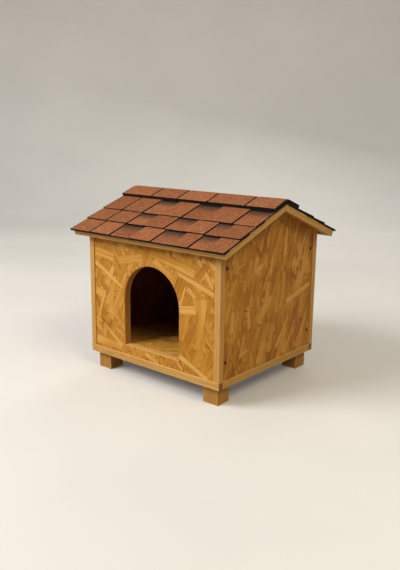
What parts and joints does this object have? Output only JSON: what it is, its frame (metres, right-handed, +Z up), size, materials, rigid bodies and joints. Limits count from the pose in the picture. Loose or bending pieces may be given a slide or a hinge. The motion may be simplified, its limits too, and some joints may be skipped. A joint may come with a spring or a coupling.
{
  "type": "cat house",
  "caption": "Strand-board cat house on short feet, with an arched doorway and a pitched, shingled roof that lifts straight off.",
  "frame": {"origin": "on the ground, under the middle of the house", "axes": "+Z up; the doorway faces -Y, the gables face -X and +X, and the ridge runs along X"},
  "size_m": [0.58, 0.5428, 0.5409],
  "materials": {
    "strand_board": "bare oriented strand board, satin",
    "trim_timber": "planed softwood, bare",
    "foot_timber": "planed softwood, bare",
    "frame_timber": "sawn softwood, bare",
    "plywood": "bare plywood",
    "shingle": "terracotta mineral granules on bitumen felt",
    "bitumen_felt": "matt black felt",
    "screw_steel": "black phosphate",
    "nail_steel": "galvanised"
  },
  "bodies": {
    "house": {"batten_screws": "screw_steel", "bearer_screws": "screw_steel", "floor_panel": "strand_board", "floor_screws": "screw_steel", "foot_screws": "screw_steel", "front_bearer": "frame_timber", "front_left_batten": "frame_timber", "front_left_foot": "foot_timber", "front_left_post": "trim_timber", "front_lining": "plywood", "front_rail": "trim_timber", "front_right_batten": "frame_timber", "front_right_foot": "foot_timber", "front_right_post": "trim_timber", "front_wall": "strand_board", "gable_wall_screws": "screw_steel", "left_bearer": "frame_timber", "left_gable_wall": "strand_board", "left_rail": "trim_timber", "lining_screws": "screw_steel", "middle_joist": "frame_timber", "rail_screws": "screw_steel", "rear_bearer": "frame_timber", "rear_left_batten": "frame_timber", "rear_left_foot": "foot_timber", "rear_left_post": "trim_timber", "rear_rail": "trim_timber", "rear_right_batten": "frame_timber", "rear_right_foot": "foot_timber", "rear_right_post": "trim_timber", "rear_wall": "strand_board", "right_bearer": "frame_timber", "right_gable_wall": "strand_board", "right_rail": "trim_timber"},
    "roof": {"deck_screws": "screw_steel", "front_course_1": "shingle", "front_course_2": "shingle", "front_course_3": "shingle", "front_deck": "strand_board", "front_fascia": "trim_timber", "front_left_barge_board": "trim_timber", "front_left_rafter": "frame_timber", "front_right_barge_board": "trim_timber", "front_right_rafter": "frame_timber", "front_starter_strip": "bitumen_felt", "left_gusset": "plywood", "rear_course_1": "shingle", "rear_course_2": "shingle", "rear_course_3": "shingle", "rear_deck": "strand_board", "rear_fascia": "trim_timber", "rear_left_barge_board": "trim_timber", "rear_left_rafter": "frame_timber", "rear_right_barge_board": "trim_timber", "rear_right_rafter": "frame_timber", "rear_starter_strip": "bitumen_felt", "ridge_caps": "shingle", "ridge_underlay": "bitumen_felt", "right_gusset": "plywood", "shingle_nails": "nail_steel"}
  },
  "joints": [
    {"name": "roof_lift", "type": "slide", "parent": "house", "child": "roof", "axis": [0, 0, 1], "range_m": [0, 0.2]}
  ]
}
